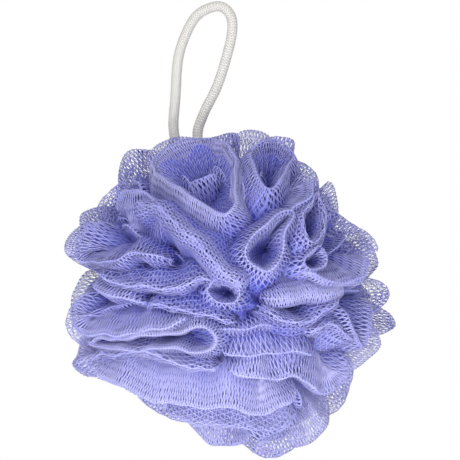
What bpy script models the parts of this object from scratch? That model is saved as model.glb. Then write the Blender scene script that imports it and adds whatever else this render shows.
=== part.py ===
"""Mesh bath pouf: a gathered ball of netting ruffles on a hanging cord.

The ball is one long net tube, bunched into pleats and tied round its waist.
Each pleat stands up from the gathered core as a folded wall with a rounded rim.
The pouf hangs by its cord loop. The origin is at the inside top of that loop.
Front is -Y, +X is to the right and +Z is up. Lengths are in metres.
"""
import math

import bmesh
import bpy
from mathutils import Vector

MM = 0.001

# Ball of netting
BALL_RADIUS = 65.5 * MM
BALL_HALF_DEPTH = 56 * MM
CORE_RADIUS = 27 * MM
ROOT_RADIUS = 23 * MM
HALF_STAND_OFF = 17 * MM
ROOT_STAND_OFF = 4.6 * MM
BALL_CENTRE = Vector((4.4 * MM, 0.0, -113.5 * MM))

# The folds below are drawn on a ball of this many units, and grow and shrink with the real one
PLAN_BALL = 65.5
PLAN_UNIT = BALL_RADIUS / PLAN_BALL

# Folds: a doubled net with a rolled rim, whose flanks bulge where the layers are packed
ROOT_SHARE = 0.5
FLANK_DEPTH = 13 * MM
FLANK_SPREAD = 5.5 * MM
FULL_LEAN = 6 * MM
MOST_TILT = 0.85
MOUTH_TILT = 0.8
MOUTH_FULLNESS = 0.6
END_DROP = 9 * MM
END_ROUND = 8 * MM
END_TAPER = 12.8 * MM
CORNER_SHARE = 0.4
FOLD_STEP = 10 * MM
LOBE_HALF_WIDTH = 1.3 * MM
LOBE_LEAN = 4 * MM
LOBE_SPREAD = 2.2 * MM
LOBE_END_DROP = 3 * MM
LOBE_OVERLAP = 3.5 * MM

# Back half: the same tube, bunched the same way, so its folds are the front ones turned round
BACK_SHRINK = 0.93
BACK_TURN = math.radians(76)

# Open diamonds of the net, cut through the rims of the edge lobes
GAP_WIDTH = 2.4 * MM
GAP_HEIGHT = 4.6 * MM
GAP_BELOW_RIM = 5.5 * MM
GAP_REACH_SPARE = 0.6 * MM
GAP_SHARES = (0.36, 0.64)

# Waist tie, wound round the gathered waist in the plane between the two halves
TIE_TURNS = 3
TIE_CORD_DIAMETER = 1.6 * MM
TIE_RADIUS = 12 * MM
TIE_SIDES = 28
GROOVE_REACH = 1.5 * MM
GROOVE_FLARE = 1.2

# Hanging cord: a braided loop whose two ends are knotted at the waist
CORD_DIAMETER = 4.2 * MM
CORD_STEP = 2.1 * CORD_DIAMETER
KNOT_DIAMETER = 11.6 * MM
KNOT_HEIGHT = 7.0 * MM
KNOT_SIDES = 18
KNOT_TURNS = 3
KNOT_TWIST = 1.6
KNOT_RIDGE = 0.12
POCKET_CLEARANCE = 1.0 * MM
POCKET_STRETCH = 1.5
TOUCH_GAP = 0.3 * MM
TANGENT_REACH = 1.5 * MM
WAIST_GAP = 0.3 * MM

# The knot stands on the tie, and the cord's two ends enter the flat on top of it
KNOT_FOOT = TIE_RADIUS + TIE_CORD_DIAMETER / 2 + TOUCH_GAP

# Route of the cord's centre line in x, y, z, in millimetres from the origin
CORD_ROUTE = (
    (1.9, 0.0, -93.0),
    (1.9, 0.0, -88.5),
    (1.2, 0.1, -83.5),
    (-5.0, 0.3, -73.5),
    (-13.4, 0.6, -62.0),
    (-18.0, 0.6, -48.5),
    (-17.4, 0.0, -33.8),
    (-16.2, 0.0, -18.2),
    (-12.3, 0.0, -7.0),
    (-7.6, 0.0, -0.6),
    (0.0, 0.0, 2.1),
    (4.6, 0.0, -1.6),
    (5.2, 0.0, -8.4),
    (3.0, 0.0, -18.2),
    (-0.8, 0.2, -30.0),
    (-6.2, 0.6, -41.0),
    (-8.6, 0.8, -50.0),
    (-5.4, 0.6, -62.0),
    (1.2, 0.3, -74.0),
    (6.2, 0.1, -83.0),
    (6.9, 0.0, -88.5),
    (6.9, 0.0, -93.0),
)

# Folds of the front half: half width of the rolled rim and sideways lean of the root,
# height of the rim as a share of the ball, whether the rim closes into a mouth,
# and the rim's own points, x to the right and z up from the ball's centre
FRONT_FOLDS = (
    (1.8, 0, 0.97, True, ((-30, 51), (-22, 44), (-12, 38), (-2, 32), (2, 41), (1, 57), (-6, 63),
                          (-20, 62), (-28, 58))),
    (1.4, -2, 0.88, False, ((-19, 45), (-11, 47), (-3, 50))),
    (1.6, 5, 0.93, False, ((-50, 38), (-43, 42), (-35, 42), (-28, 36), (-22, 32))),
    (4.2, -3, 1.00, False, ((-41, 39), (-29, 35), (-20, 28), (-11, 19), (-3, 11), (6, 2))),
    (1.6, -3, 0.98, False, ((-54, 33), (-58, 28), (-62, 21), (-59, 14), (-49, 14), (-38, 17), (-26, 17))),
    (1.5, -3, 0.96, False, ((-56, 10), (-46, 6), (-34, 4), (-22, 4), (-10, 7), (-3, 7))),
    (1.3, -2, 0.98, False, ((-58, 6), (-50, 2), (-42, -1), (-36, -2))),
    (1.5, -3, 0.95, False, ((-36, -5), (-27, -3), (-17, -5), (-6, -8), (4, -10))),
    (1.8, -3, 0.97, False, ((-60, 2), (-63, -5), (-63, -11), (-58, -15), (-46, -15), (-31, -13), (-16, -8))),
    (1.3, 0, 0.98, True, ((-56, -18), (-40, -16), (-24, -14), (-10, -12), (-5, -16), (-9, -21),
                          (-26, -20), (-44, -21))),
    (1.6, 2, 0.96, False, ((-58, -28), (-53, -24), (-40, -22), (-30, -22), (-18, -27), (-3, -29))),
    (1.8, -3, 1.00, False, ((-57, -30), (-47, -34), (-36, -39), (-25, -42), (-12, -43), (2, -44),
                            (14, -46), (29, -39))),
    (1.6, -2, 0.98, False, ((-28, -46), (-15, -50), (1, -51), (15, -53), (28, -50))),
    (1.8, -4, 1.00, False, ((-1, -30), (13, -32), (25, -31), (37, -38), (45, -34), (49, -24))),
    (1.8, 3, 0.95, False, ((30, -15), (38, -11), (45, -14), (52, -20))),
    (1.4, 0, 0.99, False, ((46, -2), (48, -11), (53, -20), (56, -10), (59, -1))),
    (4.2, -3, 0.97, False, ((14, 0), (22, 0), (33, 1), (42, 2), (48, 6))),
    (1.6, 2, 1.00, False, ((13, -3), (20, -9), (30, -9), (40, -4), (46, 2))),
    (2.2, 0, 1.00, True, ((7, 21), (8, 14), (14, 10), (19, 14), (21, 23), (25, 34), (15, 30))),
    (2.0, 0, 1.00, True, ((9, 58), (10, 50), (12, 45), (16, 43), (20, 47), (24, 53), (24, 59), (17, 63))),
    (1.6, 3, 0.97, False, ((28, 52), (33, 46), (32, 41), (28, 37), (22, 34))),
    (1.4, 0, 0.98, True, ((35, 41), (30, 35), (29, 29), (31, 22), (35, 22), (37, 28), (37, 35))),
    (1.3, 0, 0.96, True, ((36, 20), (31, 18), (29, 14), (32, 11), (37, 13), (38, 17))),
    (2.0, -3, 0.99, False, ((28, 10), (34, 9), (41, 6), (49, 6), (55, 12), (57, 18))),
    (1.3, 2, 0.84, False, ((4, 52), (5, 42), (6, 34))),
    (1.2, 0, 0.97, True, ((-5, 4), (-1, 6), (4, 3), (3, -1), (-1, -2), (-4, 1))),
    (1.5, 2, 0.90, False, ((-15, -8), (-6, -12), (4, -12), (13, -11), (22, -13))),
    (1.5, -2, 0.94, False, ((-5, -21), (6, -23), (16, -22), (26, -21), (35, -25))),
)

# Lobes of the outline: pleats that lie in the plane of the picture at the ball's edge, each by
# its distance in front of (-) or behind (+) the waist plane and its rim's points, as above
EDGE_LOBES = (
    (8, ((-18, 62), (-10, 63), (-3, 65), (1, 66))),
    (-9, ((1, 64), (6, 66), (11, 66), (16, 64))),
    (7, ((15, 64), (20, 64), (26, 62), (26, 54))),
    (-7, ((25, 55), (31, 52), (35, 48), (36, 44))),
    (8, ((35, 43), (40, 46), (43, 41), (44, 33))),
    (-8, ((40, 36), (47, 30), (54, 26), (59, 21))),
    (7, ((57, 22), (59, 17), (60, 12), (57, 8))),
    (-6, ((54, 8), (61, 5), (64, 0), (61, -5))),
    (6, ((61, -5), (65, -8), (67, -13), (61, -16))),
    (-8, ((60, -16), (60, -20), (56, -25), (50, -30))),
    (7, ((50, -30), (49, -36), (46, -44), (40, -49))),
    (-7, ((40, -47), (39, -52), (34, -58), (28, -61))),
    (8, ((29, -60), (23, -64), (15, -66), (5, -61))),
    (-8, ((5, -60), (-2, -60), (-9, -59), (-17, -51))),
    (6, ((-17, -51), (-25, -50), (-33, -45), (-38, -40))),
    (-8, ((-38, -40), (-45, -36), (-55, -32), (-62, -29))),
    (6, ((-60, -32), (-64, -28), (-62, -24), (-61, -20))),
    (-6, ((-59, -21), (-64, -16), (-66, -11), (-65, -6))),
    (7, ((-65, -6), (-64, -1), (-62, 4), (-60, 8))),
    (-5, ((-58, 15), (-65, 16), (-66, 21), (-61, 28))),
    (8, ((-61, 28), (-60, 33), (-53, 36))),
    (-7, ((-53, 36), (-49, 41), (-45, 45))),
    (9, ((-46, 45), (-44, 54), (-39, 59), (-31, 59))),
    (-9, ((-32, 58), (-28, 61), (-23, 63), (-17, 64))),
)


def clear_scene():
    for item in list(bpy.data.objects):
        bpy.data.objects.remove(item, do_unlink=True)


def material(name, colour, roughness):
    made = bpy.data.materials.new(name)
    made.use_nodes = True
    shader = made.node_tree.nodes["Principled BSDF"]
    shader.inputs["Base Color"].default_value = (*colour, 1.0)
    shader.inputs["Roughness"].default_value = roughness
    shader.inputs["Metallic"].default_value = 0.0
    return made


def add_object(name, mesh, look):
    item = bpy.data.objects.new(name, mesh)
    bpy.context.scene.collection.objects.link(item)
    if look:
        mesh.materials.append(look)
    return item


def smooth_point(before, start, end, after, share):
    """A point of the Catmull-Rom curve between start and end."""
    a = 2 * start
    b = end - before
    c = 2 * before - 5 * start + 4 * end - after
    d = 3 * start - before - 3 * end + after
    return 0.5 * (a + b * share + c * share ** 2 + d * share ** 3)


def smooth_curve(points, closed, steps=12):
    """The smooth curve through the points, finely sampled, with the distance along it."""
    count = len(points)
    spans = count if closed else count - 1
    curve = []
    for span in range(spans):
        if closed:
            four = [points[(span + k) % count] for k in (-1, 0, 1, 2)]
        else:
            four = [points[min(max(span + k, 0), count - 1)] for k in (-1, 0, 1, 2)]
        curve += [smooth_point(*four, step / steps) for step in range(steps)]
    curve.append(points[0] if closed else points[-1])
    travelled = [0.0]
    for first, second in zip(curve, curve[1:]):
        travelled.append(travelled[-1] + (second - first).length)
    return curve, travelled


def point_along(curve, travelled, distance):
    """The point of a sampled curve at a distance along it."""
    for index in range(1, len(curve)):
        if travelled[index] >= distance or index == len(curve) - 1:
            span = max(travelled[index] - travelled[index - 1], 1e-9)
            share = min(max((distance - travelled[index - 1]) / span, 0.0), 1.0)
            return curve[index - 1].lerp(curve[index], share)


def front_rim(points, height):
    """Rim points of a front fold, laid on the ball as far out as its height says."""
    rim = []
    for x, z in points:
        across = min(math.hypot(x, z) * PLAN_UNIT / BALL_RADIUS, 1.0)
        depth = max(BALL_HALF_DEPTH * math.sqrt(1 - across ** 2) * height, HALF_STAND_OFF)
        rim.append(Vector((x * PLAN_UNIT, -depth, z * PLAN_UNIT)))
    return rim


def back_rim(points, height):
    """The same rim on the back half, mirrored, turned about the ball's axis and drawn in."""
    cosine, sine = math.cos(BACK_TURN) * BACK_SHRINK, math.sin(BACK_TURN) * BACK_SHRINK
    turned = [(-x * cosine - z * sine, -x * sine + z * cosine) for x, z in points]
    return [Vector((p.x, -p.y, p.z)) for p in front_rim(turned, height)]


def edge_rim(stand_off, points):
    """Rim points of an edge lobe, run on past both ends so that it laps under its neighbours."""
    rim = [Vector((x * PLAN_UNIT, stand_off * PLAN_UNIT, z * PLAN_UNIT)) for x, z in points]
    before = rim[0] + (rim[0] - rim[1]).normalized() * LOBE_OVERLAP
    after = rim[-1] + (rim[-1] - rim[-2]).normalized() * LOBE_OVERLAP
    return [before] + rim + [after]


def end_depth(distance, length, closed, drop):
    """How far the rim has dropped at a distance along the fold, round at both free ends."""
    if closed:
        return 0.0
    reach = min(END_ROUND, length / 3)
    near = max(0.0, 1 - min(distance, length - distance) / reach)
    return drop * (1 - math.sqrt(1 - near ** 2))


def fold_stations(length, closed):
    """Distances along a fold at which its section is drawn."""
    if closed:
        count = max(5, round(length / FOLD_STEP))
        return [length * k / count for k in range(count)]
    corner = min(END_ROUND, length / 3) * CORNER_SHARE
    count = max(2, round((length - 2 * corner) / FOLD_STEP))
    middle = [corner + (length - 2 * corner) * k / count for k in range(count + 1)]
    return [0.0] + middle + [length]


def fold_root(crest, sideways, half_width, lean):
    """Middle of a fold's root in the core, kept on its own side of the waist groove."""
    root = crest.normalized() * ROOT_RADIUS + sideways * lean
    side = math.copysign(1.0, crest.y)
    root.y = side * max(side * root.y, ROOT_STAND_OFF + half_width * ROOT_SHARE)
    return root


def flank_spreads(spread, lean, closed, points):
    """How far a fold's two flanks bulge, left and right of its rim: fuller on the side it leans to.

    A rim that closes into a mouth is full outside and steep inside, so the mouth stays open.
    """
    if closed:
        ends = zip(points, points[1:] + points[:1])
        turning = sum(x1 * z2 - x2 * z1 for (x1, z1), (x2, z2) in ends)
        tilt = math.copysign(MOUTH_TILT, turning)
    else:
        tilt = min(max(lean / FULL_LEAN, -MOST_TILT), MOST_TILT)
    return spread * (1 - tilt), spread * (1 + tilt)


def flank_fullness(distance, length, closed):
    """The share of its spread that a fold's flank has: less towards the free ends."""
    if closed:
        return MOUTH_FULLNESS
    near = max(0.0, 1 - min(distance, length - distance) / min(END_TAPER, length / 2.2))
    return 1 - near ** 2


def fold_section(crest, sideways, half_width, lean, spreads):
    """Section of a fold: two walls that rise from the core, bulge, and meet in a rolled rim."""
    root = fold_root(crest, sideways, half_width, lean)
    down = (root - crest).normalized()
    shoulder = crest + down * half_width
    flank = shoulder + down * FLANK_DEPTH
    left, right = spreads
    return [
        root - sideways * half_width * ROOT_SHARE,
        flank - sideways * (half_width + left),
        shoulder - sideways * half_width,
        crest,
        shoulder + sideways * half_width,
        flank + sideways * (half_width + right),
        root + sideways * half_width * ROOT_SHARE,
    ]


def rim_frame(curve, travelled, distance, closed, drop):
    """The crest of a fold and its sideways direction, at a distance along the rim."""
    length = travelled[-1]
    here = point_along(curve, travelled, distance)
    ahead = point_along(curve, travelled, min(distance + TANGENT_REACH, length))
    behind = point_along(curve, travelled, max(distance - TANGENT_REACH, 0.0))
    if closed and distance == 0.0:
        behind = point_along(curve, travelled, length - TANGENT_REACH)
    sideways = (ahead - behind).cross(here).normalized()
    crest = here * (1 - end_depth(distance, length, closed, drop) / here.length)
    return crest, sideways


def add_fold(shape, rim, closed, half_width, lean, drop, spreads):
    """One fold as a closed body in the bmesh: its sections joined along the rim."""
    curve, travelled = smooth_curve(rim, closed)
    length = travelled[-1]
    rings = []
    for distance in fold_stations(length, closed):
        crest, sideways = rim_frame(curve, travelled, distance, closed, drop)
        fullness = flank_fullness(distance, length, closed)
        full = [spread * fullness for spread in spreads]
        section = fold_section(crest, sideways, half_width, lean, full)
        rings.append([shape.verts.new(point) for point in section])
    pairs = list(zip(rings, rings[1:]))
    if closed:
        pairs.append((rings[-1], rings[0]))
    sides = len(rings[0])
    for first, second in pairs:
        for k in range(sides):
            after = (k + 1) % sides
            shape.faces.new((first[k], second[k], second[after], first[after]))
    if not closed:
        shape.faces.new(rings[0])
        shape.faces.new(list(reversed(rings[-1])))


def fold_mesh(name, rim, closed, half_width, lean, drop, spreads):
    shape = bmesh.new()
    add_fold(shape, rim, closed, half_width, lean, drop, spreads)
    bmesh.ops.triangulate(shape, faces=shape.faces[:])
    bmesh.ops.recalc_face_normals(shape, faces=shape.faces[:])
    mesh = bpy.data.meshes.new(name)
    shape.to_mesh(mesh)
    shape.free()
    return mesh


def build_folds(side):
    """The folds of one half, front (1) or back (-1), each as a closed body of its own."""
    meshes = []
    rim = front_rim if side > 0 else back_rim
    for half_width, lean, height, closed, points in FRONT_FOLDS:
        spreads = flank_spreads(FLANK_SPREAD, side * lean * PLAN_UNIT, closed, points)
        meshes.append(fold_mesh("fold", rim(points, height), closed, half_width * PLAN_UNIT,
                                side * lean * PLAN_UNIT, END_DROP, spreads))
    for stand_off, points in half_lobes(side):
        meshes.append(fold_mesh("edge_lobe", edge_rim(stand_off, points), False, LOBE_HALF_WIDTH,
                                lobe_lean(stand_off), LOBE_END_DROP, (LOBE_SPREAD, LOBE_SPREAD)))
    return meshes


def half_lobes(side):
    """The lobes of the outline that belong to one half: the front one's stand in front of the waist."""
    return [lobe for lobe in EDGE_LOBES if lobe[0] * side < 0]


def lobe_lean(stand_off):
    """A lobe's root stands clear of the waist groove, on the lobe's own side of it."""
    return -math.copysign(LOBE_LEAN, stand_off)


def build_gaps(side):
    """Open diamonds of the net, as prisms that pass through the walls of one half's edge lobes."""
    shape = bmesh.new()
    for stand_off, points in half_lobes(side):
        curve, travelled = smooth_curve(edge_rim(stand_off, points), False)
        length = travelled[-1]
        for share in GAP_SHARES:
            crest, sideways = rim_frame(curve, travelled, length * share, False, LOBE_END_DROP)
            outward = crest.normalized()
            along = outward.cross(sideways)
            depth = GAP_BELOW_RIM / (crest.length - ROOT_RADIUS)
            middle = crest - outward * GAP_BELOW_RIM + sideways * lobe_lean(stand_off) * depth
            across, upright = along * GAP_WIDTH / 2, outward * GAP_HEIGHT / 2
            corners = (across, upright, -across, -upright)
            wall = LOBE_HALF_WIDTH + LOBE_SPREAD * (GAP_BELOW_RIM - LOBE_HALF_WIDTH) / FLANK_DEPTH
            reach = sideways * (wall + GAP_REACH_SPARE)
            near = [shape.verts.new(middle + corner - reach) for corner in corners]
            far = [shape.verts.new(middle + corner + reach) for corner in corners]
            shape.faces.new(near)
            shape.faces.new(list(reversed(far)))
            for k in range(4):
                after = (k + 1) % 4
                shape.faces.new((near[k], far[k], far[after], near[after]))
    bmesh.ops.recalc_face_normals(shape, faces=shape.faces[:])
    mesh = bpy.data.meshes.new("open_diamonds")
    shape.to_mesh(mesh)
    shape.free()
    return mesh


def knot_profile():
    """Radius and height of the knot from its foot on the tie to the flat where the cord enters."""
    radius = KNOT_DIAMETER / 2
    return [(radius * 0.45, 0.0), (radius * 0.86, KNOT_HEIGHT * 0.17), (radius, KNOT_HEIGHT * 0.45),
            (radius * 0.98, KNOT_HEIGHT * 0.75), (radius * 0.88, KNOT_HEIGHT)]


def build_knot():
    """The two cord ends knotted: a short barrel with the turns as twisted ridges round it."""
    shape = bmesh.new()
    rings = []
    for radius, height in knot_profile():
        ring = []
        for side in range(KNOT_SIDES):
            angle = 2 * math.pi * side / KNOT_SIDES
            twist = KNOT_TURNS * angle + KNOT_TWIST * height / KNOT_HEIGHT
            reach = radius * (1 - KNOT_RIDGE * (1 - math.cos(twist)) / 2)
            ring.append(shape.verts.new((reach * math.cos(angle), reach * math.sin(angle), height)))
        rings.append(ring)
    for lower, upper in zip(rings, rings[1:]):
        for k in range(KNOT_SIDES):
            after = (k + 1) % KNOT_SIDES
            shape.faces.new((lower[k], lower[after], upper[after], upper[k]))
    shape.faces.new(list(reversed(rings[0])))
    shape.faces.new(rings[-1])
    bmesh.ops.recalc_face_normals(shape, faces=shape.faces[:])
    mesh = bpy.data.meshes.new("cord_knot")
    shape.to_mesh(mesh)
    shape.free()
    return mesh


def build_pocket():
    """The room that the knot takes in the waist: its own outline with a clearance."""
    shape = bmesh.new()
    width = KNOT_DIAMETER + 2 * POCKET_CLEARANCE
    height = (KNOT_HEIGHT + 2 * POCKET_CLEARANCE) * POCKET_STRETCH
    bmesh.ops.create_uvsphere(shape, u_segments=12, v_segments=8, radius=0.5)
    bmesh.ops.scale(shape, vec=(width, width, height), verts=shape.verts)
    bmesh.ops.translate(shape, vec=(0, 0, KNOT_FOOT + KNOT_HEIGHT / 2), verts=shape.verts)
    mesh = bpy.data.meshes.new("knot_pocket")
    shape.to_mesh(mesh)
    shape.free()
    return mesh


def build_core():
    shape = bmesh.new()
    bmesh.ops.create_icosphere(shape, subdivisions=2, radius=CORE_RADIUS)
    mesh = bpy.data.meshes.new("core")
    shape.to_mesh(mesh)
    shape.free()
    return mesh


def tie_profile():
    """Section of the wound tie, radius against y: a flat bed and one round back for each turn."""
    radius = TIE_CORD_DIAMETER / 2
    half = TIE_TURNS * radius
    profile = [(TIE_RADIUS - radius, -half)]
    for turn in range(TIE_TURNS):
        middle = (turn - (TIE_TURNS - 1) / 2) * TIE_CORD_DIAMETER
        for angle in map(math.radians, (-60, 0, 60)):
            profile.append((TIE_RADIUS + radius * math.cos(angle), middle + radius * math.sin(angle)))
    profile.append((TIE_RADIUS - radius, half))
    return profile


def groove_profile():
    """Section of the groove that the tie has pulled into the waist, open to the outside."""
    radius = TIE_CORD_DIAMETER / 2
    half = TIE_TURNS * radius + TOUCH_GAP
    bed = TIE_RADIUS - radius - TOUCH_GAP
    return [(bed, -half), (CORE_RADIUS + GROOVE_REACH, -half * GROOVE_FLARE),
            (CORE_RADIUS + GROOVE_REACH, half * GROOVE_FLARE), (bed, half)]


def spin_ring(name, profile, sides):
    """A ring turned about the Y axis from a closed profile of radius and y."""
    shape = bmesh.new()
    rings = []
    for side in range(sides):
        angle = 2 * math.pi * side / sides
        rings.append([shape.verts.new((r * math.cos(angle), y, r * math.sin(angle))) for r, y in profile])
    for side in range(sides):
        first, second = rings[side], rings[(side + 1) % sides]
        for k in range(len(profile)):
            after = (k + 1) % len(profile)
            shape.faces.new((first[k], second[k], second[after], first[after]))
    bmesh.ops.recalc_face_normals(shape, faces=shape.faces[:])
    mesh = bpy.data.meshes.new(name)
    shape.to_mesh(mesh)
    shape.free()
    return mesh


def cord_points():
    """Points along the cord's centre line, one every few diameters."""
    route = [Vector(point) * MM for point in CORD_ROUTE]
    curve, travelled = smooth_curve(route, False)
    count = round(travelled[-1] / CORD_STEP)
    return [point_along(curve, travelled, travelled[-1] * k / count) for k in range(count + 1)]


def build_cord(name, radius, look):
    curve = bpy.data.curves.new(name, "CURVE")
    curve.dimensions = "3D"
    spline = curve.splines.new("POLY")
    points = cord_points()
    spline.points.add(len(points) - 1)
    for target, point in zip(spline.points, points):
        target.co = (*point, 1.0)
    curve.bevel_depth = radius
    curve.bevel_resolution = 2
    curve.use_fill_caps = True
    item = bpy.data.objects.new(name, curve)
    bpy.context.scene.collection.objects.link(item)
    if look:
        curve.materials.append(look)
    return item


def cut_mesh(body, cutter, operation):
    """One Boolean on the body. The many thin walls that graze each other need the MANIFOLD solver."""
    step = body.modifiers.new(cutter.name, "BOOLEAN")
    step.operation = operation
    step.solver = "MANIFOLD"
    step.object = cutter
    bpy.context.view_layer.update()
    result = bpy.data.meshes.new_from_object(body.evaluated_get(bpy.context.evaluated_depsgraph_get()))
    body.modifiers.remove(step)
    body.data = result


def connected_shell(start):
    """Every vertex that edges join to the first one."""
    shell, waiting = {start}, [start]
    while waiting:
        for edge in waiting.pop().link_edges:
            for vert in edge.verts:
                if vert not in shell:
                    shell.add(vert)
                    waiting.append(vert)
    return shell


def keep_outer_shell(mesh):
    """Pockets trapped between packed folds are netting too: only the outer surface stays."""
    shape = bmesh.new()
    shape.from_mesh(mesh)
    unseen = set(shape.verts)
    shells = []
    while unseen:
        shells.append(connected_shell(min(unseen, key=lambda vert: vert.index)))
        unseen -= shells[-1]
    largest = max(shells, key=len)
    spare = [vert for shell in shells if shell is not largest for vert in shell]
    bmesh.ops.delete(shape, geom=spare, context="VERTS")
    bmesh.ops.triangulate(shape, faces=shape.faces[:])
    bmesh.ops.recalc_face_normals(shape, faces=shape.faces[:])
    shape.to_mesh(mesh)
    shape.free()


def cutter_object(name, mesh):
    item = add_object(name, mesh, None)
    item.location = BALL_CENTRE
    item.hide_render = True
    item.display_type = "WIRE"
    return item


def build_waist_block(side):
    """Everything past the waist plane, as seen from one half, which the other half takes up."""
    shape = bmesh.new()
    bmesh.ops.create_cube(shape, size=1.0)
    reach = BALL_RADIUS * 2
    bmesh.ops.scale(shape, vec=(2 * reach, reach, 2 * reach), verts=shape.verts)
    bmesh.ops.translate(shape, vec=(0, side * (reach - WAIST_GAP) / 2, 0), verts=shape.verts)
    mesh = bpy.data.meshes.new("past_waist")
    shape.to_mesh(mesh)
    shape.free()
    return mesh


def build_half(name, side, look):
    """One half of the netting: its share of the core, its folds, and what the tie and knot press in."""
    half = add_object(name, build_core(), look)
    half.location = BALL_CENTRE
    for fold in build_folds(side):
        cut_mesh(half, cutter_object(fold.name, fold), "UNION")
    groove = spin_ring("tie_groove", groove_profile(), TIE_SIDES)
    for cutter in (groove, build_pocket(), build_gaps(side), build_waist_block(side)):
        cut_mesh(half, cutter_object(cutter.name, cutter), "DIFFERENCE")
    keep_outer_shell(half.data)


def main():
    clear_scene()
    netting_look = material("lavender_netting", (0.22, 0.21, 0.62), 0.35)
    cord_look = material("off_white_cord", (0.76, 0.74, 0.71), 0.8)
    tie_look = material("pale_string", (0.80, 0.79, 0.78), 0.7)

    build_half("netting", 1, netting_look)
    build_half("netting_back", -1, netting_look)
    tie = add_object("waist_tie", spin_ring("waist_tie", tie_profile(), TIE_SIDES), tie_look)
    tie.location = BALL_CENTRE

    knot = add_object("cord_knot", build_knot(), cord_look)
    knot.location = BALL_CENTRE + Vector((0, 0, KNOT_FOOT))
    build_cord("hanging_cord", CORD_DIAMETER / 2, cord_look)


main()
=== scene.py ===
"""Mesh bath pouf: gathered lavender netting ruffles on a braided hanging cord."""
import math

import bpy
import numpy as np
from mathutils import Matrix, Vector


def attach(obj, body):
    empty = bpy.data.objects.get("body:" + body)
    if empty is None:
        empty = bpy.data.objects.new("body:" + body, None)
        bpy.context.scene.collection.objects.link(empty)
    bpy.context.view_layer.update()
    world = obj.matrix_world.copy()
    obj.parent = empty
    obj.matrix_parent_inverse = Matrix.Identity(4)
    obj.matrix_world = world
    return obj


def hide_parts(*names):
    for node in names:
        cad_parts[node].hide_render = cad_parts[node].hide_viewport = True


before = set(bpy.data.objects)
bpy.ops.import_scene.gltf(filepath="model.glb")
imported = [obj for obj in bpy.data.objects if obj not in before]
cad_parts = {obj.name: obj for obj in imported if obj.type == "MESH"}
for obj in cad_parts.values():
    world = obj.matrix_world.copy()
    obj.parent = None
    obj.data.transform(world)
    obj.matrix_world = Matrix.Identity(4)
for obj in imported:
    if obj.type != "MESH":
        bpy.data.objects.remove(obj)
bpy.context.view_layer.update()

MM = 0.001

# Ball of netting, in metres
BALL_CENTRE = np.array((4.4, 0.0, -113.5)) * MM
BALL_RADIUS = 65.5 * MM
BALL_HALF_DEPTH = 56 * MM
ROOT_RADIUS = 23 * MM
HALF_STAND_OFF = 17 * MM
ROOT_STAND_OFF = 4.6 * MM
ROOT_SHARE = 0.5
END_DROP = 9 * MM
END_ROUND = 8 * MM
LOBE_HALF_WIDTH = 1.3 * MM
LOBE_LEAN = 4 * MM
LOBE_END_DROP = 3 * MM
LOBE_OVERLAP = 3.5 * MM
LOBE_SPREAD = 2.2 * MM
FLANK_DEPTH = 13 * MM
FLANK_SPREAD = 5.5 * MM
FULL_LEAN = 6 * MM
MOST_TILT = 0.85
MOUTH_TILT = 0.8
MOUTH_FULLNESS = 0.6
END_TAPER = 12.8 * MM
BACK_SHRINK = 0.93
BACK_TURN = math.radians(76)
GATHER_POINT = (12.0, -3.0)

# Where the back, edge, inner and belt ruffles start in the numbering that varies them
BACK_NUMBER, EDGE_NUMBER, INNER_NUMBER, BELT_NUMBER = 40, 80, 120, 160

# How far walls wave, faces ripple and rims are scalloped, and the length of rim to a radian of each
WALL_WAVE = 0.8 * MM
LOBE_WAVE = 1.9 * MM
WAVE_PER_RADIAN = (3.6 * MM, 1.9 * MM)
WALL_RIPPLE = 0.7 * MM
RIPPLE_PER_RADIAN = 2.6 * MM
RIM_SCALLOP = 0.7 * MM
LOBE_SCALLOP = 0.3 * MM
SCALLOP_PER_RADIAN = (3.1 * MM, 1.5 * MM)

# Low pleats packed between the main ones; their routes start, run on and end at so many millimetres
PACKED_HALF_WIDTH = 1.5 * MM
INNER_PLEATS = 30
INNER_START = 7
INNER_RUN = 49
INNER_LIMIT = 59.0

# Low pleats that cross the belt beneath the edge lobes, and the room that they leave round the cord
BELT_PLEATS = 34
BELT_BELOW_LOBES = 9.0 * MM
BELT_REACH = 19.0 * MM
CORD_ROOM = 0.8 * MM

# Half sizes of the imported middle
MIDDLE_HALF_SIZE = np.array((51, 44, 51)) * MM

# Sheets: rows from root over rim to root, a column's width, and how far they lie inside the threads
LAYER_ROWS = 30
PACKED_ROWS = 20
LAYER_COLUMN = 1.3 * MM
LAYER_INSET = 0.45 * MM

# The net drawn together inside a closed rim
MOUTH_LIP = 0.7
MOUTH_START = 2.2 * MM
MOUTH_DEEPEST = 9 * MM
MOUTH_RIB = 2.4 * MM

# One diamond of the net at its widest, and the threads round it
CELL_WIDTH = 1.6 * MM
CELL_HEIGHT = 5.4 * MM
THREAD_RADIUS = 0.145 * MM
THREAD_DEPTH_SHARE = 0.6

# Heights between which the lowest sheets are painted paler: painted light from below, partly standing
# for the layers getting fewer there
PAINTED_LIGHT_AND_THIN_NET_BELOW = -118 * MM
PAINTED_LIGHT_AND_THINNEST_NET_AT = -166 * MM

# Hanging cord: a round braid, the length in which a strand goes once round it, and its relief
CORD_DIAMETER = 4.2 * MM
CORD_RING = 0.33 * MM
CORD_SIDES = 32
BRAID_STRANDS = 8
BRAID_TURN = 7.5 * MM
BRAID_RELIEF = 0.065
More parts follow.
